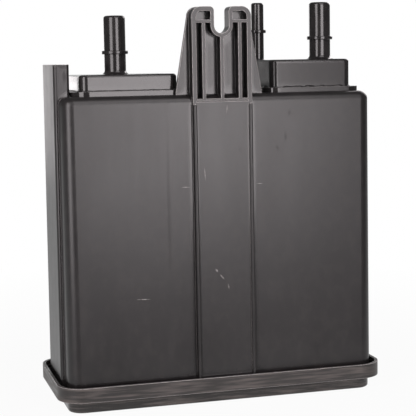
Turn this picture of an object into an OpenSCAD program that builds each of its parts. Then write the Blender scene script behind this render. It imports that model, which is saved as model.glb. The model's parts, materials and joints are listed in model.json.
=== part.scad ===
// Charcoal canister for fuel vapour, with two carbon chambers in one moulded case.
// Millimetres, +Z up, front towards -Y, origin under the middle of the base.

/* [Case] */
// Width of the case across the front, at the top
case_w = 230; // [200:1:260]
// Depth of the case between its side panels, at the top
case_d = 87; // [80:1:100]
// Height of the case above its seat on the cover
case_h = 212.6; // [180:0.1:240]
// How far each drafted wall leans out at the foot
foot_out = 1.1; // [0.4:0.1:1.3]
// Wall thickness of the case
case_wall = 2.6; // [2:0.1:3]
// Radius of the upright edges
case_corner_r = 8; // [7:0.5:12]
// Radius of the edges round the top
case_edge_r = 6; // [4:0.5:6.5]
// Distance of the partition from the middle, towards the tank side
partition_x = 4; // [-10:0.5:10]
// Height of the flow gap between the seat of the case and the partition
partition_gap = 8; // [4:0.5:10]
// Reach of the weld flange out from the case wall
weld_out = 2.6; // [1.5:0.1:3]
// Thickness of the weld flange
weld_t = 3; // [2:0.1:4]

/* [Front band] */
// How far the centre band stands out from the side panels
band_out = 2.7; // [1.5:0.1:3]
// How far the two band ribs stand out from the band
rib_out = 2; // [1.4:0.1:2.1]
// Width of a band rib
rib_w = 2.6; // [2.4:0.1:3.2]
// Radius of the edges along the crest of a rib
rib_edge_r = 1.1; // [0.4:0.1:1.1]
// Distance of the rib tops below the top of the band
rib_drop = 3.6; // [1:0.1:10]
// Distance of the top of the band below the top of the case
band_drop = 3; // [2:0.1:6]
// Depth of the thin groove under the top of the band
groove_depth = 0.6; // [0.3:0.1:1]
// Height of the thin groove
groove_h = 0.8; // [0.5:0.1:1.2]
// Distance of the groove below the top of the band
groove_drop = 1.4; // [1:0.1:2]

/* [Bracket tower] */
// Offset of the tower from the middle of the case
tower_x = 0; // [-5:0.1:5]
// Width of the ribbed tower
tower_w = 43.9; // [40:0.1:50]
// Height of the tower above the top of the case
tower_h = 62.1; // [45:0.1:70]
// Distance of the back of the tower behind the front of the case
tower_setback = 8.9; // [7.5:0.1:10]
// Thickness of the back plate
plate_t = 3; // [2:0.1:4]
// Rim of the back plate past each side of the tower, at the shoulders
plate_rim = 1.1; // [0.5:0.1:2]
// Spread of the back plate past each side of the tower, at the foot
plate_spread = 10.9; // [4:0.1:12]
// Thickness of the outer walls of the tower
tower_wall = 3.1; // [2:0.1:4]
// Width of the open bolt notch
notch_w = 11.1; // [8:0.1:13]
// Depth of the bolt notch below the top of the tower
notch_depth = 19; // [12:0.1:24]
// Thickness of the rim round the notch
notch_rim = 2.5; // [1.8:0.1:3]
// Radius of the outer shoulders of the tower
shoulder_r = 7; // [5:0.1:9]
// Radius of the shoulders beside the notch
notch_shoulder_r = 3.2; // [2.6:0.1:4]
// Thickness of the ribs in the tower
tower_rib_t = 2.4; // [1.8:0.1:3]
// Distance of the side ribs from the middle of the tower
tower_rib_x = 13.4; // [11:0.1:14.5]
// Distance of the cross bars below the top of the tower
bar_drop = 9.4; // [7:0.1:11]
// Height of a cross bar
bar_h = 1.9; // [1.5:0.1:3]

/* [Side rail] */
// How far the rail stands out from the side of the case
rail_out = 2.8; // [1.5:0.1:3]
// Width of the upstand that ends the rail above the case
rail_w = 11.4; // [9:0.1:12]
// Depth of the rail, front to back
rail_d = 50.8; // [40:0.1:60]
// Height of the upstand above the top of the case
rail_h = 22.9; // [12:0.1:30]
// Radius of the upright edges of the rail
rail_r = 2.5; // [1:0.1:2.7]
// Wall left round the cored pocket in the upstand
rail_wall = 2.6; // [2:0.1:3]

/* [Bottom cover] */
// Height of the lower step of the cover
step_h = 9.4; // [8.5:0.1:14]
// Height of the lip above the lower step
lip_h = 10.5; // [8:0.1:14]
// Thickness of the lip
lip_t = 2.2; // [1.6:0.1:3]
// Gap between the foot of the case and the lip at the sides
lip_gap_side = 4.9; // [3.4:0.1:6]
// Gap between the foot of the case and the lip at the front and back
lip_gap_front = 5.2; // [5:0.1:8]
// How far the lower step is set in from the outside of the lip
step_inset = 7.6; // [6:0.1:8.6]
// Radius of the upright corners of the lip
lip_corner_r = 18.6; // [14:0.1:22]
// Radius of the edge round the bottom of the step
step_edge_r = 1.6; // [0.8:0.1:2.2]
// Thickness of the wall round the lower step
step_wall = 2.6; // [2:0.1:3.2]
// Thickness of the shelf that the case seats on
shelf_t = 2.6; // [2:0.1:3.5]
// Thickness of the cover floor
floor_t = 2.6; // [2:0.1:3.2]
// Height of the stiffening ribs under the floor
base_rib_h = 3; // [2:0.1:4]
// Thickness of the stiffening ribs
base_rib_t = 2.4; // [1.8:0.1:3]
// Spacing of the stiffening ribs across the cover
base_rib_pitch = 36; // [28:1:48]

/* [Caps] */
// Thickness of the weld flange under each cap
flange_t = 3.4; // [2.5:0.1:4]
// Reach of the weld flange past the cap wall
flange_out = 6.2; // [3:0.1:6.6]
// Clearance between the cap flanges and the back of the tower
cap_gap = 0.6; // [0.3:0.1:2]
// Wall thickness of the caps
cap_wall = 2.4; // [2:0.1:3]
// Radius of the upright corners of the caps
cap_corner_r = 5.5; // [4:0.5:8]
// Radius of the edge round the top of the caps
cap_edge_r = 2; // [1:0.1:2.5]
// Distance of the vent cap from the left side of the case
vent_cap_margin = 15.7; // [15.4:0.1:20]
// Width of the vent cap
vent_cap_w = 71.4; // [60:0.1:72]
// Height of the vent cap above the case
vent_cap_h = 15.2; // [12:0.1:25]
// Distance of the tank cap from the right side of the case
tank_cap_margin = 9.3; // [8:0.1:16]
// Width of the tank cap
tank_cap_w = 62.8; // [58:0.1:66]
// Height of the tank cap above the case
tank_cap_h = 23.8; // [18:0.1:32]
// Margin of the flow windows inside the cap walls
window_margin = 3; // [2:0.1:6]
// Radius of the corners of the flow windows
window_r = 4; // [2:0.1:6]

/* [Spigots] */
// Outside diameter of the two large spigots
large_od = 15.82; // [14:0.01:17]
// Outside diameter of the slim spigot
slim_od = 9.49; // [8:0.01:10]
// Wall thickness of the large spigots
large_wall = 2.2; // [1.8:0.1:3]
// Wall thickness of the slim spigot
slim_wall = 1.8; // [1.4:0.1:2.2]
// Length of the large spigots above their caps
large_len = 42.4; // [36:0.1:50]
// Length of the slim spigot above its cap
slim_len = 43.5; // [36:0.1:50]
// Distance of the bead on the large spigots from the tip
large_bead = 26.6; // [20:0.1:30]
// Distance of the bead on the slim spigot from the tip
slim_bead = 21.8; // [18:0.1:28]
// How far a bead stands out from its spigot
bead_out = 1.7; // [1:0.1:2]
// Height of a bead
bead_h = 2.6; // [1.6:0.1:3]
// Radius of the outer edges of a bead
bead_edge_r = 0.6; // [0.2:0.1:0.7]
// Radius of the rounded tips of the large spigots
large_tip_r = 2.1; // [0.6:0.1:2.1]
// Radius of the rounded tip of the slim spigot
slim_tip_r = 1.6; // [0.6:0.1:1.7]
// Radius of the fillet at the foot of the large spigots
foot_r = 3; // [1.5:0.1:4]
// Radius of the fillet at the foot of the slim spigot
slim_foot_r = 1; // [0.5:0.1:1.2]
// Vent spigot position from the middle of the vent cap
vent_port_x = -4.4; // [-15:0.1:15]
// Tank spigot position to the right of the middle of the tank cap
tank_port_x = 13.5; // [5:0.1:15.5]
// Tank spigot position behind the middle of the tank cap
tank_port_y = -10; // [-13:0.5:13]
// Distance of the slim purge spigot from the left side of the tank cap
purge_inset_x = 6.1; // [5.8:0.1:20]
// Distance of the slim purge spigot from the back of the tank cap
purge_inset_y = 5.8; // [5.8:0.1:20]

/* [Inside] */
// Clearance of the beds, foams and plates to the chamber walls
fill_gap = 0.4; // [0.2:0.1:0.8]
// Height of the pressure plates above the floor of the cover
spring_space = 20.4; // [17:0.1:24]
// Thickness of the pressure plates and grids
plate_thick = 3; // [2:0.1:4]
// Thickness of each foam sheet
foam_t = 6; // [4:0.5:10]
// Height of the flow space between the top wall and a grid
grid_space = 8; // [5:0.5:12]
// Width of the slots in the plates and grids
slot_w = 5; // [3:0.5:7]
// Spacing of the slots
slot_pitch = 9; // [8:0.5:12]
// Mean diameter of the springs
spring_d = 22; // [18:0.5:26]
// Wire diameter of the springs
wire_d = 1.8; // [1.2:0.1:2.2]
// Turns of a spring, with one dead turn at each end
spring_turns = 5; // [4:1:6]
// Distance between the two springs of a chamber
spring_pitch = 54; // [44:1:60]
// Height of the spring seats
seat_h = 5; // [3:0.5:7]
// Clearance between a spring and its seats
seat_gap = 0.6; // [0.4:0.1:1]
// Diameter of the dust screens
screen_d = 20; // [17:0.5:22]
// Thickness of the dust screens
screen_t = 4; // [3:0.5:5]

/* [Hidden] */
$fn = 64;
cut = 1;
sliver = 0.02;
seat_z = step_h + shelf_t;
top_z = seat_z + case_h;
lip_z = step_h + lip_h;
front_y = -case_d / 2;
band_y = front_y - band_out;
band_z = top_z - band_drop;
foot_w = case_w + 2 * foot_out;
foot_d = case_d + 2 * foot_out;
foot_corner_r = case_corner_r + foot_out;
lean = atan(foot_out / case_h);
lip_w = foot_w + 2 * (lip_gap_side + lip_t);
lip_d = foot_d + 2 * (lip_gap_front + lip_t);
step_w = lip_w - 2 * step_inset;
step_d = lip_d - 2 * step_inset;
step_corner_r = lip_corner_r - step_inset;
floor_z = base_rib_h + floor_t;
inner_w = case_w - 2 * case_wall;
inner_d = case_d - 2 * case_wall;
inner_corner_r = case_corner_r - case_wall;
inner_edge_r = case_edge_r - case_wall;
roof_z = top_z - case_wall;
tower_depth = band_out + tower_setback;
cap_d = case_d - 2 * (tower_setback + cap_gap + flange_out);
vent_cap_x = vent_cap_margin + vent_cap_w / 2 - case_w / 2;
tank_cap_x = case_w / 2 - tank_cap_margin - tank_cap_w / 2;
tank_port = [tank_port_x, tank_port_y];
purge_port = [purge_inset_x - tank_cap_w / 2, cap_d / 2 - purge_inset_y];
coil_sides = 8;
coil_steps = 18;

// Each chamber is [left, right] between the case wall and the partition.
vent_chamber = [-inner_w / 2, partition_x - case_wall / 2];
tank_chamber = [partition_x + case_wall / 2, inner_w / 2];

// Heights of the stack inside each chamber, from the bottom up.
plate_z = floor_z + spring_space;
low_foam_z = plate_z + plate_thick;
carbon_z = low_foam_z + foam_t;
grid_z = roof_z - grid_space;
top_foam_z = grid_z - foam_t;
grid_inset = inner_edge_r + fill_gap;

plastic = "#2b2a2c";
cap_plastic = "#232224";
foam_grey = "#55565a";
carbon_black = "#141414";
spring_steel = "#b9bbbe";
fleece_white = "#d8d6d0";

function middle(chamber) = (chamber[0] + chamber[1]) / 2;
function width(chamber) = chamber[1] - chamber[0];

// Flat rectangle with round corners, centred.
module rounded_rect(w, d, r) {
    square([w - 2 * r, d], center = true);
    square([w, d - 2 * r], center = true);
    for (x = [-1, 1], y = [-1, 1])
        translate([x * (w / 2 - r), y * (d / 2 - r)])
            circle(r);
}

// Upright outline of a block with its two upper corners rounded and its sides leaning out to the foot.
module arch_rect(w, h, r, flare = 0) {
    half = w / 2;
    foot = half + flare;
    polygon([[-foot, 0], [foot, 0], [half, h - r], [half - r, h], [r - half, h], [-half, h - r]]);
    for (x = [-1, 1])
        translate([x * (half - r), h - r])
            circle(r);
}

// Block with round upright corners, a rounded edge round its top and drafted walls.
module soft_block(w, d, h, corner_r, edge_r, flare = 0) {
    rotate([90, 0, 90])
        linear_extrude(w - 2 * corner_r, center = true)
            arch_rect(d, h, edge_r, flare);
    rotate([90, 0, 0])
        linear_extrude(d - 2 * corner_r, center = true)
            arch_rect(w, h, edge_r, flare);
    for (x = [-1, 1], y = [-1, 1])
        translate([x * (w / 2 - corner_r), y * (d / 2 - corner_r), 0])
            rotate_extrude()
                intersection() {
                    arch_rect(2 * corner_r, h, edge_r, flare);
                    square([2 * corner_r, h]);
                }
}

// Outline of the bracket tower from the front, drawn inset by a wall for its recess or spread for its plate.
module tower_outline(wall, rim, spread = 0) {
    half = tower_w / 2 - wall + spread;
    notch = notch_w / 2 + rim;
    top = tower_h - wall;
    notch_z = tower_h - notch_depth + notch_w / 2;
    difference() {
        union() {
            translate([-half, -band_drop])
                square([2 * half, notch_z + band_drop]);
            for (side = [0, 1])
                mirror([side, 0])
                    tower_lobe(notch, half, notch_z, top, notch_shoulder_r - rim, shoulder_r - wall);
        }
        translate([0, notch_z])
            circle(notch);
    }
}

// One lobe beside the notch, with a small inner shoulder and a large outer one.
module tower_lobe(x0, x1, z0, z1, inner_r, outer_r) {
    translate([x0, z0])
        square([x1 - x0, z1 - z0 - outer_r]);
    translate([x0, z0])
        square([inner_r, z1 - z0 - inner_r]);
    translate([x0 + inner_r, z0])
        square([x1 - x0 - inner_r - outer_r, z1 - z0]);
    translate([x0 + inner_r, z1 - inner_r])
        circle(inner_r);
    translate([x1 - outer_r, z1 - outer_r])
        circle(outer_r);
}

// Ribs and cross bars left standing in the recess of the tower.
module tower_ribs() {
    bar_z = tower_h - bar_drop - bar_h;
    for (x = [-tower_rib_x, tower_rib_x])
        translate([x - tower_rib_t / 2, -band_drop])
            square([tower_rib_t, bar_z + band_drop]);
    translate([-tower_rib_t / 2, -band_drop])
        square([tower_rib_t, tower_h - notch_depth + band_drop]);
    translate([-tower_w / 2, bar_z])
        square([tower_w, bar_h]);
}

module bracket_tower() {
    plate_top = tower_h - shoulder_r;
    side = tower_w / 2;
    translate([tower_x, band_y, top_z])
        rotate([90, 0, 0])
            translate([0, 0, -tower_depth]) {
                for (way = [0, 1])
                    mirror([way, 0, 0])
                        linear_extrude(plate_t)
                            polygon([
                                [side - tower_wall, -case_wall], [side + plate_spread, -case_wall],
                                [side + plate_rim, plate_top], [side - tower_wall, plate_top]
                            ]);
                linear_extrude(plate_t)
                    tower_outline(0, 0, plate_rim);
                linear_extrude(tower_depth)
                    difference() {
                        tower_outline(0, 0);
                        difference() {
                            tower_outline(tower_wall, notch_rim);
                            tower_ribs();
                        }
                    }
            }
}

// Rib with a rounded crest and a round upper end, standing out of the band towards -Y.
module band_rib(length) {
    root = band_out + case_wall;
    intersection() {
        translate([0, root / 2 - rib_out / 2])
            linear_extrude(length)
                rounded_rect(rib_w, root + rib_out, rib_edge_r);
        translate([0, root, 0])
            rotate([90, 0, 0])
                linear_extrude(root + rib_out + cut)
                    arch_rect(rib_w, length, rib_w / 2 - sliver);
    }
}

// Raised band down the front, drafted like the case, with a rib along each edge.
module front_band() {
    band_h = band_z - seat_z;
    rib_h = band_h - rib_drop;
    root = band_y + band_out + case_wall;
    difference() {
        translate([tower_x, 0, 0])
            rotate([90, 0, 90])
                linear_extrude(tower_w, center = true)
                    polygon([[band_y - foot_out, seat_z], [root, seat_z], [root, band_z], [band_y, band_z]]);
        translate([tower_x - tower_w / 2 + rib_w, band_y - cut, band_z - groove_drop - groove_h])
            cube([tower_w - 2 * rib_w, groove_depth + cut, groove_h]);
    }
    intersection() {
        for (side = [-1, 1])
            translate([tower_x + side * (tower_w - rib_w) / 2, band_y, band_z - rib_drop])
                rotate([-lean, 0, 0])
                    translate([0, 0, -rib_h - cut])
                        band_rib(rib_h + cut);
        translate([tower_x - tower_w, band_y - tower_depth, seat_z])
            cube([2 * tower_w, 2 * tower_depth, band_h]);
    }
}

// Rail up the left side, drafted like the case and ending in a cored upstand above it.
module side_rail() {
    left = -case_w / 2 - rail_out;
    reach = foot_out + cut;
    difference() {
        intersection() {
            translate([left + rail_w / 2, 0, top_z])
                rotate([0, lean, 0])
                    translate([0, 0, -case_h - cut])
                        linear_extrude(case_h + rail_h + 2 * cut)
                            rounded_rect(rail_w, rail_d, rail_r);
            union() {
                translate([left - reach, -rail_d, seat_z])
                    cube([reach + rail_out + case_wall, 2 * rail_d, case_h]);
                translate([left - reach, -rail_d, roof_z])
                    cube([reach + 2 * rail_w, 2 * rail_d, case_wall + rail_h]);
            }
        }
        translate([left + rail_w / 2, 0, top_z + case_wall])
            linear_extrude(rail_h)
                rounded_rect(rail_w - 2 * rail_wall, rail_d - 2 * rail_wall, rail_r / 2);
    }
}

module chamber_window(x, w) {
    rim = cap_wall + window_margin;
    translate([x, 0, roof_z - cut])
        linear_extrude(case_wall + 2 * cut)
            rounded_rect(w - 2 * rim, cap_d - 2 * rim, window_r);
}

module case() {
    room_h = roof_z - seat_z + cut;
    color(plastic)
        difference() {
            union() {
                translate([0, 0, seat_z])
                    soft_block(case_w, case_d, case_h, case_corner_r, case_edge_r, foot_out);
                translate([0, 0, seat_z])
                    linear_extrude(weld_t)
                        rounded_rect(foot_w + 2 * weld_out, foot_d + 2 * weld_out, foot_corner_r + weld_out);
                bracket_tower();
                front_band();
                side_rail();
            }
            difference() {
                translate([0, 0, seat_z - cut])
                    soft_block(inner_w, inner_d, room_h, inner_corner_r, inner_edge_r, foot_out);
                translate([partition_x - case_wall / 2, -case_d / 2, seat_z + partition_gap])
                    cube([case_wall, case_d, case_h]);
            }
            chamber_window(vent_cap_x, vent_cap_w);
            chamber_window(tank_cap_x, tank_cap_w);
        }
}

// Places of the two springs in a chamber.
function spring_x(chamber, side) = middle(chamber) + side * spring_pitch / 2;

module spring_seat(x, z) {
    translate([x, 0, z])
        cylinder(h = seat_h, d = spring_d - wire_d - 2 * seat_gap);
}

module bottom_cover() {
    hollow_w = step_w - 2 * step_wall;
    hollow_d = step_d - 2 * step_wall;
    hollow_r = step_corner_r - step_wall;
    rib_count = floor((hollow_w - base_rib_pitch / 2) / base_rib_pitch / 2);
    color(plastic) {
        difference() {
            union() {
                translate([0, 0, step_h + shelf_t])
                    mirror([0, 0, 1])
                        soft_block(step_w, step_d, step_h + shelf_t, step_corner_r, step_edge_r);
                translate([0, 0, step_h])
                    linear_extrude(lip_h)
                        rounded_rect(lip_w, lip_d, lip_corner_r);
            }
            translate([0, 0, seat_z])
                linear_extrude(lip_h)
                    rounded_rect(lip_w - 2 * lip_t, lip_d - 2 * lip_t, lip_corner_r - lip_t);
            translate([0, 0, floor_z])
                linear_extrude(lip_h)
                    rounded_rect(hollow_w, hollow_d, hollow_r);
            translate([0, 0, -cut])
                linear_extrude(base_rib_h + cut)
                    difference() {
                        rounded_rect(hollow_w, hollow_d, hollow_r);
                        square([step_w, base_rib_t], center = true);
                        for (i = [-rib_count:rib_count])
                            translate([i * base_rib_pitch, 0])
                                square([base_rib_t, step_d], center = true);
                    }
        }
        for (chamber = [vent_chamber, tank_chamber], side = [-1, 1])
            spring_seat(spring_x(chamber, side), floor_z);
    }
}

// Retaining bead with rounded outer edges, as the half section that is revolved.
module bead_section(reach) {
    flat_h = bead_h - 2 * bead_edge_r;
    translate([0, -bead_h / 2])
        square([reach - bead_edge_r, bead_h]);
    translate([0, -flat_h / 2])
        square([reach, flat_h]);
    for (side = [-1, 1])
        translate([reach - bead_edge_r, side * flat_h / 2])
            intersection() {
                circle(bead_edge_r);
                translate([0, min(side, 0) * bead_edge_r])
                    square(bead_edge_r);
            }
}

// Hose spigot as a revolved profile, standing on z = 0.
module spigot(od, len, bead, tip, foot) {
    r = od / 2;
    rotate_extrude() {
        square([r - tip, len]);
        square([r, len - tip]);
        translate([r - tip, len - tip])
            intersection() {
                circle(tip);
                square(tip);
            }
        translate([0, len - bead])
            bead_section(r + bead_out);
        difference() {
            square([r + foot, foot]);
            translate([r + foot, foot])
                circle(foot);
        }
    }
}

// Closed cap body with its weld flange, open underneath.
module cap_shell(w, h) {
    translate([0, 0, top_z])
        difference() {
            union() {
                soft_block(w, cap_d, h, cap_corner_r, cap_edge_r);
                linear_extrude(flange_t)
                    rounded_rect(w + 2 * flange_out, cap_d + 2 * flange_out, cap_corner_r + flange_out);
            }
            translate([0, 0, -cut])
                linear_extrude(h - cap_wall + cut)
                    rounded_rect(w - 2 * cap_wall, cap_d - 2 * cap_wall, cap_corner_r - cap_wall);
        }
}

// Skirt under a port that holds its dust screen against the cap.
module screen_skirt(h) {
    translate([0, 0, top_z + h - cap_wall - screen_t])
        difference() {
            cylinder(h = screen_t + cap_wall / 2, d = screen_d + 2 * fill_gap + 2 * cap_wall);
            translate([0, 0, -cut])
                cylinder(h = screen_t + cut, d = screen_d + 2 * fill_gap);
        }
}

module port_bore(od, wall, h, len) {
    translate([0, 0, top_z + h - 2 * cap_wall])
        cylinder(h = len + 3 * cap_wall, d = od - 2 * wall);
}

module vent_cap() {
    color(cap_plastic)
        translate([vent_cap_x, 0, 0])
            difference() {
                union() {
                    cap_shell(vent_cap_w, vent_cap_h);
                    translate([vent_port_x, 0, top_z + vent_cap_h])
                        spigot(large_od, large_len, large_bead, large_tip_r, foot_r);
                    translate([vent_port_x, 0, 0])
                        screen_skirt(vent_cap_h);
                }
                translate([vent_port_x, 0, 0])
                    port_bore(large_od, large_wall, vent_cap_h, large_len);
            }
}

module tank_cap() {
    color(cap_plastic)
        translate([tank_cap_x, 0, 0])
            difference() {
                union() {
                    cap_shell(tank_cap_w, tank_cap_h);
                    translate([tank_port[0], tank_port[1], top_z + tank_cap_h])
                        spigot(large_od, large_len, large_bead, large_tip_r, foot_r);
                    translate([purge_port[0], purge_port[1], top_z + tank_cap_h])
                        spigot(slim_od, slim_len, slim_bead, slim_tip_r, slim_foot_r);
                    translate([tank_port[0], tank_port[1], 0])
                        screen_skirt(tank_cap_h);
                }
                translate([tank_port[0], tank_port[1], 0])
                    port_bore(large_od, large_wall, tank_cap_h, large_len);
                translate([purge_port[0], purge_port[1], 0])
                    port_bore(slim_od, slim_wall, tank_cap_h, slim_len);
            }
}

// Sheet or bed that fills a chamber up to a clearance.
module chamber_fill(chamber, z, h, gap) {
    translate([middle(chamber), 0, z])
        linear_extrude(h)
            rounded_rect(width(chamber) - 2 * gap, inner_d - 2 * gap, inner_corner_r);
}

// Rows of flow slots for a plate or grid, in two banks front and back.
module flow_slots(chamber) {
    count = floor((width(chamber) / 2 - slot_pitch) / slot_pitch);
    slot_len = inner_d / 2 - 2 * slot_pitch;
    for (i = [-count:count], y = [-1, 1])
        translate([middle(chamber) + i * slot_pitch, y * (inner_d / 4 + slot_pitch / 4)])
            square([slot_w, slot_len], center = true);
}

module grid(chamber) {
    color(cap_plastic) {
        difference() {
            chamber_fill(chamber, grid_z, plate_thick, grid_inset);
            translate([0, 0, grid_z - cut])
                linear_extrude(plate_thick + 2 * cut)
                    flow_slots(chamber);
        }
        translate([middle(chamber), 0, grid_z])
            linear_extrude(grid_space)
                difference() {
                    rounded_rect(width(chamber) - 2 * grid_inset, inner_d - 2 * grid_inset, inner_corner_r);
                    rounded_rect(width(chamber) - 2 * grid_inset - 2 * cap_wall,
                        inner_d - 2 * grid_inset - 2 * cap_wall, inner_corner_r - cap_wall);
                }
    }
}

module pressure_plate(chamber) {
    color(cap_plastic) {
        difference() {
            chamber_fill(chamber, plate_z, plate_thick, fill_gap);
            translate([0, 0, plate_z - cut])
                linear_extrude(plate_thick + 2 * cut)
                    flow_slots(chamber);
        }
        for (side = [-1, 1]) {
            translate([spring_x(chamber, side), 0, plate_z])
                cylinder(h = plate_thick, d = spring_d + 2 * wire_d);
            spring_seat(spring_x(chamber, side), plate_z - seat_h);
        }
    }
}

module foam(chamber, z) {
    color(foam_grey)
        chamber_fill(chamber, z, foam_t, fill_gap);
}

module carbon(chamber) {
    color(carbon_black)
        chamber_fill(chamber, carbon_z, top_foam_z - carbon_z, fill_gap);
}

// Height of the wire centre after a number of turns, with one dead turn at each end.
function coil_z(turn) =
    let (free = spring_space - 3 * wire_d, live = spring_turns - 2)
    wire_d / 2 + wire_d * min(turn, 1) + free * min(max((turn - 1) / live, 0), 1)
        + wire_d * max(turn - spring_turns + 1, 0);

// Round wire swept along the coil.
module coil_spring(chamber, side) {
    sides = coil_sides;
    steps = coil_steps * spring_turns;
    points = [
        for (i = [0:steps], k = [0:sides - 1])
            let (
                turn = i / coil_steps,
                around = 360 * k / sides,
                r = spring_d / 2 + wire_d / 2 * cos(around)
            )
            [r * cos(360 * turn), r * sin(360 * turn), coil_z(turn) + wire_d / 2 * sin(around)]
    ];
    walls = [
        for (i = [0:steps - 1], k = [0:sides - 1])
            let (next = (k + 1) % sides)
            [i * sides + k, i * sides + next, (i + 1) * sides + next, (i + 1) * sides + k]
    ];
    ends = [
        [for (k = [sides - 1:-1:0]) k],
        [for (k = [0:sides - 1]) steps * sides + k]
    ];
    color(spring_steel)
        translate([spring_x(chamber, side), 0, floor_z])
            polyhedron(points, concat(walls, ends));
}

module dust_screen(x, y, h) {
    color(fleece_white)
        translate([x, y, top_z + h - cap_wall - screen_t])
            cylinder(h = screen_t, d = screen_d);
}

case();
bottom_cover();
vent_cap();
tank_cap();
grid(vent_chamber);  // vent_grid
grid(tank_chamber);  // tank_grid
foam(vent_chamber, top_foam_z);  // vent_top_foam
foam(tank_chamber, top_foam_z);  // tank_top_foam
carbon(vent_chamber);  // vent_carbon
carbon(tank_chamber);  // tank_carbon
foam(vent_chamber, low_foam_z);  // vent_bottom_foam
foam(tank_chamber, low_foam_z);  // tank_bottom_foam
pressure_plate(vent_chamber);  // vent_plate
pressure_plate(tank_chamber);  // tank_plate
coil_spring(vent_chamber, -1);  // vent_spring_outer
coil_spring(vent_chamber, 1);  // vent_spring_inner
coil_spring(tank_chamber, -1);  // tank_spring_inner
coil_spring(tank_chamber, 1);  // tank_spring_outer
dust_screen(vent_cap_x + vent_port_x, 0, vent_cap_h);  // vent_screen
dust_screen(tank_cap_x + tank_port[0], tank_port[1], tank_cap_h);  // tank_screen
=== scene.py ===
"""Looks of the charcoal canister: moulded finishes, weld flash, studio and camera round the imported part."""

import json
import math

import bmesh
import bpy
from mathutils import Matrix, Vector, noise


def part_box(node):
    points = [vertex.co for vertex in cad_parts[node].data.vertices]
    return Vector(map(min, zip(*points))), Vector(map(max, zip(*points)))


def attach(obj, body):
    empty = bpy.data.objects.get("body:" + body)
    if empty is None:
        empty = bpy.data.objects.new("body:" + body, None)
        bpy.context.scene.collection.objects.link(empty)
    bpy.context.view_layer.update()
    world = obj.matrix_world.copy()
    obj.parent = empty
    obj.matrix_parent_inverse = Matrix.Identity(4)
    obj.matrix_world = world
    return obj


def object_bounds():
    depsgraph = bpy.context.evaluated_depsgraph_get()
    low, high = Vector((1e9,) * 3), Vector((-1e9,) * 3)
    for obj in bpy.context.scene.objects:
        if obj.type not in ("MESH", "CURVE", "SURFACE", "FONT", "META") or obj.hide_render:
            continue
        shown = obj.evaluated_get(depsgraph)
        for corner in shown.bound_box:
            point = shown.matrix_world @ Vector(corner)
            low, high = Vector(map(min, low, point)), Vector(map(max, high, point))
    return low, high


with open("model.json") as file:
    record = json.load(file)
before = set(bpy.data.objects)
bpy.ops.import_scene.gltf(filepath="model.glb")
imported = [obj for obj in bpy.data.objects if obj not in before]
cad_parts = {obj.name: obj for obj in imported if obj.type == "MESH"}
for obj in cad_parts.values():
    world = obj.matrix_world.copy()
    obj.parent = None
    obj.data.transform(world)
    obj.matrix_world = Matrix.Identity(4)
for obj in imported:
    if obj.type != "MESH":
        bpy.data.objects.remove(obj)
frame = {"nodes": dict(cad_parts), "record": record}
CAD_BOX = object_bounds()

UP = Vector((0.0, 0.0, 1.0))
WHITE = (1.0, 1.0, 1.0, 1.0)

# Camera fitted to the edges of the flange, case and spigots, in metres and degrees, its lens in millimetres
CAMERA_AT = Vector((-0.2577, -0.9132, 0.2494))
CAMERA_YAW = 15.805
CAMERA_PITCH = 6.706
CAMERA_ROLL = -0.955
CAMERA_LENS = 109.3
SENSOR = 36.0
CLIP_START = 0.01

# Noise in the plastic as scale, detail and stretch: broad clouds, upright flow lines, grain, scratch speckle,
# and rubbed patches as even mottle or as level streaks
CLOUDS = (14.0, 4.0)
FLOW = (60.0, 3.0, (1.0, 1.0, 0.12))
GRAIN = (2600.0, 2.0)
SPECKLE = (900.0, 3.0)
MOTTLE = (170.0, 3.0, (1.0, 1.0, 0.7))
STREAKS = (120.0, 6.0, (0.3, 0.3, 5.0))

# Ranges of noise that count, for unevenness of gloss, shades of colour, rubs and speckle
GLOSS_RANGE = (0.3, 0.7)
SHADE_RANGE = (0.35, 0.65)
RUB_RANGE = (0.45, 0.66)
SPECKLE_RANGE = (0.4, 0.6)

# Plastic: its darkest and lightest shade, gain and paleness where rubbed, roughness that a full rub adds,
# swing of roughness in clouds and flow lines, and height of the grain in metres
SHADES = (0.84, 1.16)
WORN_GAIN = 2.0
WORN_PALE = (0.046, 0.038, 0.034)
RUB_ROUGHNESS = 0.25
GLOSS_SWING = 0.02
GRAIN_HEIGHT = 0.00005

# Pale edges, partly wear and partly painted highlight: width in metres in general and on the caps with their
# flash, cosines of the turn at which the pale edge begins and is full, how much of it shows, and its colour
EDGE = 0.0006
CAP_EDGE = 0.0001
EDGE_TURN = (0.985, 0.88)
EDGE_WEAR_AND_HIGHLIGHT = 0.9
EDGE_HIGHLIGHT_PALE = (0.6, 0.57, 0.56, 1.0)
BEVEL_SAMPLES = 8

# Shelter by walls within this reach in metres, and open shares over which edges start their wear and painted
# highlight, recesses lose their gloss and deep corners stop being dull, the last two with a factor on
# roughness
SHELTER = 0.008
WEAR_AND_HIGHLIGHT_OPEN = (0.45, 0.8)
RECESS_OPEN = (0.7, 0.82)
RECESS_ROUGHNESS = 0.48
CORNER_OPEN = (0.42, 0.56)
CORNER_ROUGHNESS = 1.5

# Dull film on the front of the tank cap: its upper limit, fade and the stretch of x over which it grows, in
# metres, then its growth, and the normal in y that front faces stay below
FILM_TOP = 0.2465
FILM_FADE = 0.001
FILM_STRETCH = (0.045, 0.1)
FILM_GROWTH = 1.7
FILM_FACING = -0.99

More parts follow.
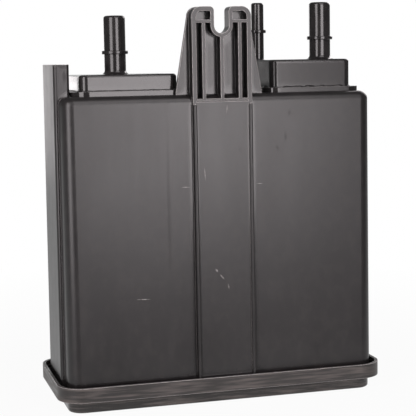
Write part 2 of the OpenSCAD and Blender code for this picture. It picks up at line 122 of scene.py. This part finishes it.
# Marks on the front: start and end (x, z) and half width, in metres, and strength. All lie about MARK_Y.
MARK_Y = -0.0452
MARK_DEPTH = 0.05
SCRATCHES = (
    ((0.0034, 0.2176), (0.0025, 0.2102), 0.0006, 0.9),
    ((-0.0078, 0.0994), (-0.0055, 0.0962), 0.0009, 1.0),
    ((-0.0046, 0.0952), (-0.0006, 0.0904), 0.0006, 1.0),
    ((0.0017, 0.0882), (0.0027, 0.0826), 0.0005, 0.8),
    ((-0.0672, 0.0799), (-0.0544, 0.0794), 0.0004, 1.0),
    ((-0.0325, 0.159), (-0.0232, 0.1587), 0.0004, 0.9),
    ((-0.0147, 0.1745), (-0.0136, 0.1617), 0.0004, 0.9),
    ((0.0246, 0.1594), (0.0307, 0.1591), 0.0003, 0.9),
)
SCRATCH_RANGE = (0.1, 0.7)
SCRATCH_PALE = (0.32, 0.3, 0.29, 1.0)
SPECKLE_LEAST = 0.3

# Dull spots on the panel, the sink line over the partition, and stains on the front of the rail
SMUDGES = (
    ((0.0292, 0.1745), (0.0292, 0.1718), 0.0016, 0.55),
    ((0.012, 0.1862), (0.012, 0.1835), 0.0017, 0.5),
    ((0.0408, 0.1868), (0.0424, 0.1831), 0.0017, 0.55),
    ((0.0512, 0.2128), (0.0512, 0.2074), 0.0015, 0.55),
    ((0.0481, 0.1965), (0.048, 0.189), 0.0015, 0.55),
    ((-0.0405, 0.21), (-0.0405, 0.03), 0.0022, 0.4),
    ((-0.1159, 0.2475), (-0.1157, 0.19), 0.0013, 1.0),
    ((-0.11, 0.2445), (-0.1098, 0.233), 0.002, 1.0),
    ((-0.1165, 0.246), (-0.1065, 0.246), 0.002, 1.0),
)

# Dull lines down the lip of the cover
LIP_MARKS = (
    ((-0.0208, 0.0225), (-0.0206, 0.0105), 0.0006, 1.0),
    ((-0.0001, 0.0225), (0.0001, 0.008), 0.0006, 1.0),
)

# Mouldings: colour, roughness and depth of grain, then their rubs, marks, film and edges where they have them
PLASTICS = {
    "case_plastic": {
        "colour": (0.0098, 0.0088, 0.0091), "roughness": 0.33, "grain_depth": 0.06,
        "scuff": 0.08, "scratches": SCRATCHES, "smudges": SMUDGES},
    "cover_plastic": {
        "colour": (0.024, 0.0215, 0.0205), "roughness": 0.35, "grain_depth": 0.1,
        "rub": STREAKS, "scuff": 0.88, "smudges": LIP_MARKS},
    "cap_plastic": {
        "colour": (0.013, 0.012, 0.0122), "roughness": 0.15, "grain_depth": 0.005,
        "scuff": 0.1, "film": 0.2, "edge_width": CAP_EDGE},
    "inner_plastic": {"colour": (0.04, 0.04, 0.041), "roughness": 0.45, "grain_depth": 0.08},
    "flash": {"colour": (0.008, 0.007, 0.007), "roughness": 0.6, "grain_depth": 0.1, "edge_width": CAP_EDGE},
}

# Inner materials: noise or cell scales, shades, roughness, and bumps as strength and height in metres
FELTS = {
    "foam": {"colour": (0.1, 0.1, 0.11), "scale": 1500.0},
    "fleece": {"colour": (0.68, 0.66, 0.62), "scale": 1200.0},
}
FELT_DETAIL = 6.0
FELT_SHADE = 0.55
FELT_ROUGHNESS = 0.95
FELT_BUMP = (0.7, 0.0005)
PELLETS = 420.0
PELLET_SHADES = ((0.03, 0.03, 0.032, 1.0), (0.004, 0.004, 0.004, 1.0))
PELLET_ROUGHNESS = 0.75
PELLET_BUMP = (0.9, 0.001)
WIRE_STREAKS = (900.0, 2.0)
WIRE_SHADES = ((0.36, 0.36, 0.37, 1.0), (0.56, 0.56, 0.58, 1.0))
WIRE_ROUGHNESS = (0.24, 0.38)

# Weld flash at the foot of the caps, in metres: flange and cap corner from the part, steps round a corner,
# pitch along the bead, scale and mean of its lumps, their swing on each cap, range of radius, and sides
FLANGE_OUT = 0.0062
FLANGE_T = 0.0034
CAP_CORNER = 0.0055
FLASH_TURN = 6
FLASH_PITCH = 0.0008
FLASH_LUMPS = 330.0
FLASH_MEAN = 0.5
FLASH_SWING = {"vent_cap": 0.3, "tank_cap": 1.1}
FLASH_R = (0.0003, 0.0014)
FLASH_SIDES = 8

# World: diffuse fill, dim surroundings in reflections, and the white backdrop behind the object
FILL = 0.1
AROUND = 0.15
BACKDROP_TOWARDS = (0.139, 0.99, 0.0)
BACKDROP_EDGE = (0.925, 0.95)

# Floor: size in metres, paint, white share near the object, distances over which it turns white for the
# camera, and, in reflections, the stretch of y over which the white sweep begins and its share
FLOOR_SIZE = 8.0
FLOOR_GREY = (0.5, 0.5, 0.5, 1.0)
FLOOR_GLOW = 0.95
SHADOW_REACH = (0.18, 0.6)
SWEEP = (-0.2, -0.08)
SWEEP_SHARE = 0.7

# Softboxes: place, aim, width and height in metres, and power in watts
LAMP_TINT = (1.0, 0.94, 0.955)
SOFTBOXES = {
    "front_softbox": ((0.2, -0.9, 0.26), (0.2, 0.0, 0.26), 0.44, 0.44, 4.1),
    "left_softbox": ((-0.62, -0.5, 0.45), (0.0, 0.0, 0.45), 0.38, 0.86, 6.0),
    "top_softbox": ((0.15, -0.62, 0.8), (0.1, 0.0, 0.26), 0.5, 0.6, 2.8),
    "backdrop_softbox": ((-0.31, 2.0, 0.25), (-0.12, 0.0, 0.25), 0.43, 0.5, 1.15),
    "rear_softbox": ((0.7, 0.6, 0.6), (0.0, 0.0, 0.15), 0.5, 0.5, 3.0),
}


class Nodes:
    """Shorthand for building one node tree. A value may be a number, a colour or another node's output."""

    def __init__(self, tree):
        self.tree = tree

    def put(self, socket, value):
        if isinstance(value, bpy.types.NodeSocket):
            self.tree.links.new(value, socket)
        else:
            socket.default_value = value

    def fill(self, node, **inputs):
        """Set inputs of a node by name, with _ for a space."""
        for name, value in inputs.items():
            self.put(node.inputs[name.replace("_", " ")], value)

    def add(self, kind, **inputs):
        node = self.tree.nodes.new(kind)
        self.fill(node, **inputs)
        return node

    def operate(self, kind, operation, *values):
        """A math node of either kind, with its values in order."""
        node = self.add(kind)
        node.operation = operation
        for socket, value in zip(node.inputs, values):
            self.put(socket, value)
        return node

    def math(self, operation, first, second):
        return self.operate("ShaderNodeMath", operation, first, second).outputs[0]

    def add_up(self, first, second):
        return self.math("ADD", first, second)

    def times(self, first, second):
        return self.math("MULTIPLY", first, second)

    def most(self, first, second):
        return self.math("MAXIMUM", first, second)

    def measure(self, operation, *vectors):
        """A number from vectors, such as a length or a dot product."""
        return self.operate("ShaderNodeVectorMath", operation, *vectors).outputs["Value"]

    def remap(self, value, low, high, to_low=0.0, to_high=1.0):
        limits = {"From_Min": low, "From_Max": high, "To_Min": to_low, "To_Max": to_high}
        return self.add("ShaderNodeMapRange", Value=value, **limits).outputs[0]

    def mix(self, factor, first, second, kind):
        node = self.tree.nodes.new("ShaderNodeMix")
        node.data_type = kind
        self.fill(node, Factor=factor, A=first, B=second)
        return node.outputs["Result"]

    def split(self, vector):
        return self.add("ShaderNodeSeparateXYZ", Vector=vector).outputs

    def mirrored(self, path):
        """1 for a ray that comes by a reflection or through glass."""
        return self.most(path["Is Glossy Ray"], path["Is Transmission Ray"])


class Shader(Nodes):
    """A node material built around one Principled shader."""

    def __init__(self, name):
        self.material = bpy.data.materials.new(name)
        self.material.use_nodes = True
        super().__init__(self.material.node_tree)
        self.principled = self.tree.nodes["Principled BSDF"]
        self.place = self.add("ShaderNodeTexCoord").outputs["Object"]

    def finish(self, **inputs):
        self.fill(self.principled, **inputs)

    def blend(self, factor, first, second):
        return self.mix(factor, first, second, "RGBA")

    def noise(self, scale, detail, stretch=(1.0, 1.0, 1.0)):
        place = self.add("ShaderNodeMapping", Vector=self.place, Scale=stretch).outputs[0]
        return self.add("ShaderNodeTexNoise", Vector=place, Scale=scale, Detail=detail).outputs["Fac"]

    def bump(self, depth, texture, **inputs):
        """Raise the surface by a texture, with a depth of strength and height."""
        strength, height = depth
        node = self.add("ShaderNodeBump", Strength=strength, Distance=height, Height=texture, **inputs)
        self.finish(Normal=node.outputs[0])
        return node

    def marks(self, segments):
        """Tapered strokes along segments of the front, strongest in the middle of a stroke and 0 off it."""
        total = 0.0
        for start, end, half_width, strength in segments:
            run, rise = end[0] - start[0], end[1] - start[1]
            mapping = self.add("ShaderNodeMapping", Vector=self.place)
            mapping.vector_type = "TEXTURE"
            self.fill(mapping, Location=((start[0] + end[0]) / 2, MARK_Y, (start[1] + end[1]) / 2),
                      Rotation=(0.0, -math.atan2(rise, run), 0.0),
                      Scale=(math.hypot(run, rise) / 2, MARK_DEPTH, half_width))
            stroke = self.add("ShaderNodeTexGradient", Vector=mapping.outputs[0])
            stroke.gradient_type = "SPHERICAL"
            total = self.most(self.times(stroke.outputs["Fac"], strength), total)
        return total


def opaque(colour, gain=1.0):
    """A colour times a gain, with full alpha."""
    return (*[c * gain for c in colour], 1.0)


def edge_wear_and_highlight(shader, rounded, flat, open_side):
    """Share of pale edge, partly wear and partly painted highlight: most on open edges, none on flat faces or
    close to a wall.
    """
    edge = shader.remap(shader.measure("DOT_PRODUCT", rounded, flat), *EDGE_TURN, 0.0, EDGE_WEAR_AND_HIGHLIGHT)
    return shader.times(edge, shader.remap(open_side, *WEAR_AND_HIGHLIGHT_OPEN))


def scratch_share(shader, scratches):
    """Share of scratched plastic, broken up by speckle."""
    speckle = shader.remap(shader.noise(*SPECKLE), *SPECKLE_RANGE, SPECKLE_LEAST)
    return shader.times(shader.remap(shader.marks(scratches), *SCRATCH_RANGE), speckle)


def film_roughness(shader, flat, film):
    """Roughness that the film adds to front faces right of the middle, growing to the right."""
    place = shader.split(shader.place)
    low = shader.remap(place["Z"], FILM_TOP - FILM_FADE, FILM_TOP, film, 0.0)
    low = shader.times(low, shader.remap(place["X"], *FILM_STRETCH, 1.0, FILM_GROWTH))
    right = shader.math("GREATER_THAN", place["X"], 0.0)
    front = shader.math("LESS_THAN", shader.split(flat)["Y"], FILM_FACING)
    return shader.times(low, shader.times(right, front))


def moulded_plastic(name, colour, roughness, grain_depth, rub=MOTTLE, scuff=0.0, scratches=(), smudges=(),
                    film=0.0, edge_width=EDGE):
    """Black moulding: cloudy, grained, rubbed, marked, pale at edges with wear and painted highlight, glossy
    in recesses, dull in corners.
    """
    shader = Shader(name)
    clouds = shader.noise(*CLOUDS)
    bevel = shader.add("ShaderNodeBevel", Radius=edge_width)
    bevel.samples = BEVEL_SAMPLES
    rounded = bevel.outputs[0]
    flat = shader.add("ShaderNodeNewGeometry").outputs["Normal"]
    open_side = shader.add("ShaderNodeAmbientOcclusion", Distance=SHELTER).outputs["AO"]
    rubbed = shader.remap(shader.noise(*rub), *RUB_RANGE, 0.0, scuff)

    dark, light = (opaque(colour, shade) for shade in SHADES)
    worn = opaque(c * WORN_GAIN + pale for c, pale in zip(colour, WORN_PALE))
    body = shader.blend(shader.remap(clouds, *SHADE_RANGE), dark, light)
    # Edges are painted pale: partly wear, partly a painted highlight where light would catch the rounding
    wear_and_highlight = edge_wear_and_highlight(shader, rounded, flat, open_side)
    finish = shader.blend(wear_and_highlight, shader.blend(rubbed, body, worn), EDGE_HIGHLIGHT_PALE)
    if scratches:
        scratch = scratch_share(shader, scratches)
        finish = shader.blend(scratch, finish, SCRATCH_PALE)
        rubbed = shader.most(rubbed, scratch)
    if smudges:
        rubbed = shader.most(rubbed, shader.marks(smudges))

    uneven = [shader.remap(texture, *GLOSS_RANGE, -GLOSS_SWING, GLOSS_SWING)
              for texture in (clouds, shader.noise(*FLOW))]
    gloss = shader.add_up(shader.add_up(*uneven),
                          shader.remap(rubbed, 0.0, 1.0, roughness, roughness + RUB_ROUGHNESS))
    gloss = shader.times(gloss, shader.remap(open_side, *RECESS_OPEN, RECESS_ROUGHNESS, 1.0))
    gloss = shader.times(gloss, shader.remap(open_side, *CORNER_OPEN, CORNER_ROUGHNESS, 1.0))
    if film:
        gloss = shader.add_up(gloss, film_roughness(shader, flat, film))
    shader.finish(Base_Color=finish, Roughness=gloss)
    shader.bump((grain_depth, GRAIN_HEIGHT), shader.noise(*GRAIN), Normal=rounded)
    return shader.material


def pellet_bed(name):
    """Packed carbon pellets: near black, broken by the cells between them."""
    shader = Shader(name)
    cells = shader.add("ShaderNodeTexVoronoi", Vector=shader.place, Scale=PELLETS).outputs["Distance"]
    shader.finish(Base_Color=shader.blend(cells, *PELLET_SHADES), Roughness=PELLET_ROUGHNESS)
    shader.bump(PELLET_BUMP, cells).invert = True
    return shader.material


def felted(name, colour, scale):
    """Open foam or needled fleece: matt, with a fine broken surface."""
    shader = Shader(name)
    fibres = shader.noise(scale, FELT_DETAIL)
    shades = shader.blend(fibres, opaque(colour, FELT_SHADE), opaque(colour))
    shader.finish(Base_Color=shades, Roughness=FELT_ROUGHNESS)
    shader.bump(FELT_BUMP, fibres)
    return shader.material


def spring_wire(name):
    """Drawn spring steel with a faint unevenness of shade and gloss."""
    shader = Shader(name)
    streaks = shader.noise(*WIRE_STREAKS)
    gloss = shader.remap(streaks, *GLOSS_RANGE, *WIRE_ROUGHNESS)
    shader.finish(Base_Color=shader.blend(streaks, *WIRE_SHADES), Metallic=1.0, Roughness=gloss)
    return shader.material


FINISHES = {
    **{name: moulded_plastic(name, **values) for name, values in PLASTICS.items()},
    **{name: felted(name, **values) for name, values in FELTS.items()},
    "carbon": pellet_bed("carbon"),
    "spring_steel": spring_wire("spring_steel"),
}


def finish_nodes():
    """Give each CAD node the finish that the record names for it."""
    for part in frame["record"]["subparts"]:
        node = frame["nodes"][part["node"]]
        node.data.materials.clear()
        node.data.materials.append(FINISHES[part["material_slot"]])


def flash_path(box):
    """Points round the foot of a cap wall, where it meets its weld flange."""
    low, high = (Vector(corner) for corner in box)
    left, right = low.x + FLANGE_OUT, high.x - FLANGE_OUT
    front, back = low.y + FLANGE_OUT, high.y - FLANGE_OUT
    corners = ((right, front, -90.0), (right, back, 0.0), (left, back, 90.0), (left, front, 180.0))
    points = []
    for x, y, start in corners:
        centre = Vector((x - math.copysign(CAP_CORNER, x - (left + right) / 2),
                         y - math.copysign(CAP_CORNER, y - (front + back) / 2), low.z + FLANGE_T))
        for step in range(FLASH_TURN + 1):
            angle = math.radians(start + 90.0 * step / FLASH_TURN)
            points.append(centre + CAP_CORNER * Vector((math.cos(angle), math.sin(angle), 0.0)))
    return points


def fill_path(points, pitch):
    """The closed path with points no further apart than the pitch."""
    dense = []
    for start, end in zip(points, points[1:] + points[:1]):
        count = max(1, math.ceil((end - start).length / pitch))
        dense.extend(start.lerp(end, i / count) for i in range(count))
    return dense


def flash_ring(mesh, before, point, after, swing):
    """Vertices round the bead at one point of its path, with a radius that follows its lumps."""
    out = (after - before).normalized().cross(UP)
    lump = min(max(FLASH_MEAN + swing * noise.noise(point * FLASH_LUMPS), 0.0), 1.0)
    radius = FLASH_R[0] + (FLASH_R[1] - FLASH_R[0]) * lump
    ring = []
    for side in range(FLASH_SIDES):
        angle = 2 * math.pi * side / FLASH_SIDES
        ring.append(mesh.verts.new(point + radius * (math.cos(angle) * out + math.sin(angle) * UP)))
    return ring


def weld_flash(node):
    """Uneven bead of squeezed-out plastic round the foot of a cap."""
    path = fill_path(flash_path(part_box(node)), FLASH_PITCH)
    mesh = bmesh.new()
    rings = [flash_ring(mesh, path[i - 1], point, path[(i + 1) % len(path)], FLASH_SWING[node])
             for i, point in enumerate(path)]
    for first, second in zip(rings, rings[1:] + rings[:1]):
        for k in range(FLASH_SIDES):
            n = (k + 1) % FLASH_SIDES
            mesh.faces.new((first[k], second[k], second[n], first[n])).smooth = True
    mesh.normal_update()
    data = bpy.data.meshes.new(node + "_flash")
    mesh.to_mesh(data)
    mesh.free()
    bead = bpy.data.objects.new(node + "_flash", data)
    bpy.context.scene.collection.objects.link(bead)
    data.materials.append(FINISHES["flash"])
    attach(bead, "root")


def empty_tree(owner):
    """The cleared node tree of a material or world."""
    owner.use_nodes = True
    owner.node_tree.nodes.clear()
    return Nodes(owner.node_tree)


def floor_material():
    """White sweep: soft shadow near the object, plain white far off and, in reflections, behind it."""
    material = bpy.data.materials.new("floor_white")
    nodes = empty_tree(material)
    path = nodes.add("ShaderNodeLightPath").outputs
    place = nodes.add("ShaderNodeTexCoord").outputs["Object"]
    far = nodes.remap(nodes.measure("LENGTH", place), *SHADOW_REACH, FLOOR_GLOW)
    swept = nodes.remap(nodes.split(place)["Y"], *SWEEP, 0.0, SWEEP_SHARE)
    share = nodes.most(nodes.times(path["Is Camera Ray"], far), nodes.times(nodes.mirrored(path), swept))
    paint = nodes.add("ShaderNodeBsdfDiffuse", Color=FLOOR_GREY).outputs[0]
    glow = nodes.add("ShaderNodeEmission", Color=WHITE).outputs[0]
    surface = nodes.add("ShaderNodeMixShader")
    for socket, value in zip(surface.inputs, (share, paint, glow)):
        nodes.put(socket, value)
    nodes.add("ShaderNodeOutputMaterial", Surface=surface.outputs[0])
    return material


def build_floor():
    bpy.ops.mesh.primitive_plane_add(size=FLOOR_SIZE, location=(0.0, 0.0, CAD_BOX[0][2]))
    floor = bpy.context.object
    floor.name = "studio_floor"
    floor.data.materials.append(floor_material())


def build_world():
    """White for the camera, white behind the object in reflections, and a soft fill for diffuse light."""
    world = bpy.data.worlds.new("studio")
    bpy.context.scene.world = world
    nodes = empty_tree(world)
    path = nodes.add("ShaderNodeLightPath").outputs
    direction = nodes.add("ShaderNodeTexCoord").outputs["Generated"]
    behind = nodes.remap(nodes.measure("DOT_PRODUCT", direction, BACKDROP_TOWARDS), *BACKDROP_EDGE, AROUND)
    lit = nodes.mix(nodes.mirrored(path), FILL, behind, "FLOAT")
    strength = nodes.mix(path["Is Camera Ray"], lit, 1.0, "FLOAT")
    sky = nodes.add("ShaderNodeBackground", Color=WHITE, Strength=strength)
    nodes.add("ShaderNodeOutputWorld", Surface=sky.outputs[0])


def softbox(name, at, aim, width, height, power):
    data = bpy.data.lights.new(name, "AREA")
    data.shape = "RECTANGLE"
    data.size = width
    data.size_y = height
    data.energy = power
    data.color = LAMP_TINT
    lamp = bpy.data.objects.new(name, data)
    lamp.location = at
    lamp.rotation_euler = (Vector(aim) - Vector(at)).to_track_quat("-Z", "Y").to_euler()
    bpy.context.scene.collection.objects.link(lamp)


def build_camera():
    yaw = math.radians(CAMERA_YAW)
    pitch = math.radians(CAMERA_PITCH)
    roll = math.radians(CAMERA_ROLL)
    forward = Vector((math.sin(yaw) * math.cos(pitch), math.cos(yaw) * math.cos(pitch), -math.sin(pitch)))
    level = Vector((math.cos(yaw), -math.sin(yaw), 0.0))
    upright = level.cross(forward)
    right = math.cos(roll) * level + math.sin(roll) * upright
    up = math.cos(roll) * upright - math.sin(roll) * level
    data = bpy.data.cameras.new("camera")
    data.sensor_width = SENSOR
    data.lens = CAMERA_LENS
    data.clip_start = CLIP_START
    camera = bpy.data.objects.new("camera", data)
    turn = Matrix((right, up, -forward)).transposed().to_4x4()
    camera.matrix_world = Matrix.Translation(CAMERA_AT) @ turn
    bpy.context.scene.collection.objects.link(camera)
    bpy.context.scene.camera = camera


finish_nodes()
for cap in FLASH_SWING:
    weld_flash(cap)
build_floor()
build_world()
for lamp_name, values in SOFTBOXES.items():
    softbox(lamp_name, *values)
build_camera()
bpy.context.scene.view_settings.view_transform = "Standard"
